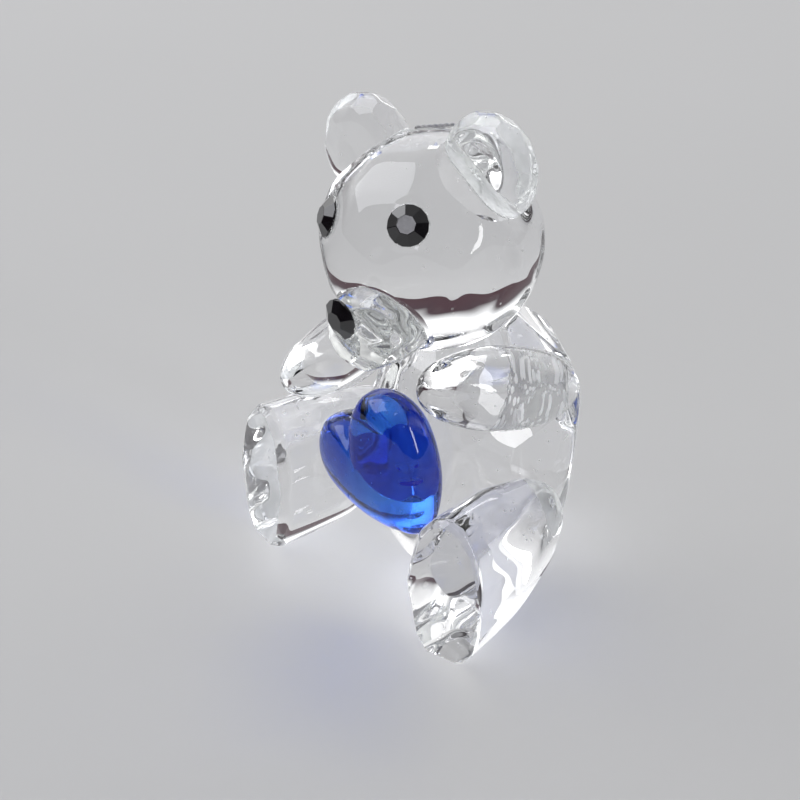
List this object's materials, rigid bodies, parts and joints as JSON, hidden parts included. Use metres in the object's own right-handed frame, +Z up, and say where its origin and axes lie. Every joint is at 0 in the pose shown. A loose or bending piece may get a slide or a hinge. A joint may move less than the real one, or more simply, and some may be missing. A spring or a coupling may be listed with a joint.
{
  "type": "crystal figurine",
  "caption": "Faceted clear crystal teddy bear figurine, seated, holding a cobalt-blue glass heart, with black stone eyes and nose.",
  "frame": {"origin": "on the resting plane, below the middle of the torso", "axes": "+Z up, -Y the way the bear faces, +X towards the bear's left"},
  "size_m": [0.0349, 0.0324, 0.0498],
  "materials": {
    "clear_glass": "polished",
    "cobalt_glass": "polished",
    "black_glass": "polished",
    "adhesive": "satin"
  },
  "bodies": {
    "root": {"arm_left": "clear_glass", "arm_right": "clear_glass", "bond_arm_left": "adhesive", "bond_arm_right": "adhesive", "bond_ear_left": "adhesive", "bond_ear_right": "adhesive", "bond_eye_left": "adhesive", "bond_eye_right": "adhesive", "bond_heart_chest": "adhesive", "bond_leg_left": "adhesive", "bond_leg_right": "adhesive", "bond_muzzle": "adhesive", "bond_neck": "adhesive", "bond_nose": "adhesive", "crown_beads": "clear_glass", "ear_left": "clear_glass", "ear_right": "clear_glass", "eye_stone_left": "black_glass", "eye_stone_right": "black_glass", "head": "clear_glass", "heart": "cobalt_glass", "leg_left": "clear_glass", "leg_right": "clear_glass", "muzzle": "clear_glass", "nose_stone": "black_glass", "torso": "clear_glass"}
  },
  "joints": []
}
